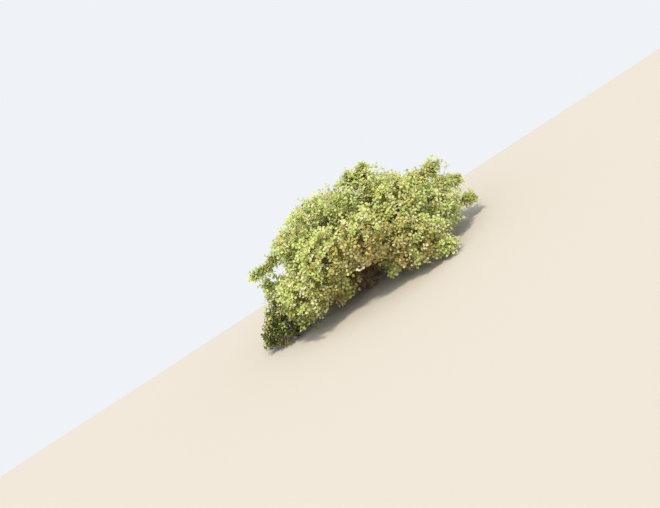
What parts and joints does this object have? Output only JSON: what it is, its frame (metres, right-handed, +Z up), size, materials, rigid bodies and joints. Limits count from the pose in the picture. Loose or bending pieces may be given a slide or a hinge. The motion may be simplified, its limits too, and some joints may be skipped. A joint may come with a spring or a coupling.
{
  "type": "caper bush",
  "caption": "Low, wide caper bush: a dome of round-leaved foliage masses on arching boughs that leave one short root crown, cut flat at the ground.",
  "frame": {"origin": "middle of the flat cut where the root crown meets the ground, taken as level", "axes": "+Z up from the ground; +X along the dome's long side, which points uphill in the picture; +Y from the front to the back"},
  "size_m": [2.2026, 1.7143, 0.9607],
  "materials": {
    "bark": "rough grey-brown bark",
    "foliage": "slightly waxy yellow-green leaves"
  },
  "bodies": {
    "root": {"root_crown": "bark", "bough_left_tip": "bark", "bough_left_front": "bark", "bough_left_shoulder": "bark", "bough_front_left": "bark", "bough_front": "bark", "bough_front_foot": "bark", "bough_right_shoulder": "bark", "bough_right_back": "bark", "bough_back": "bark", "bough_back_left": "bark", "bough_top_right": "bark", "bough_left_back": "bark", "bough_right_low": "bark", "bough_front_right": "bark", "bough_upper_right": "bark", "bough_upper_back": "bark", "bough_upper_left": "bark", "bough_top_left": "bark", "mass_left_tip": "foliage", "mass_left_front": "foliage", "mass_left_shoulder": "foliage", "mass_front_left": "foliage", "mass_front": "foliage", "mass_front_foot": "foliage", "mass_right_shoulder": "foliage", "mass_right_back": "foliage", "mass_back": "foliage", "mass_back_left": "foliage", "mass_top_right": "foliage", "mass_left_back": "foliage", "mass_right_low": "foliage", "mass_front_right": "foliage", "mass_upper_right": "foliage", "mass_upper_back": "foliage", "mass_upper_left": "foliage", "mass_top_left": "foliage"}
  },
  "joints": []
}
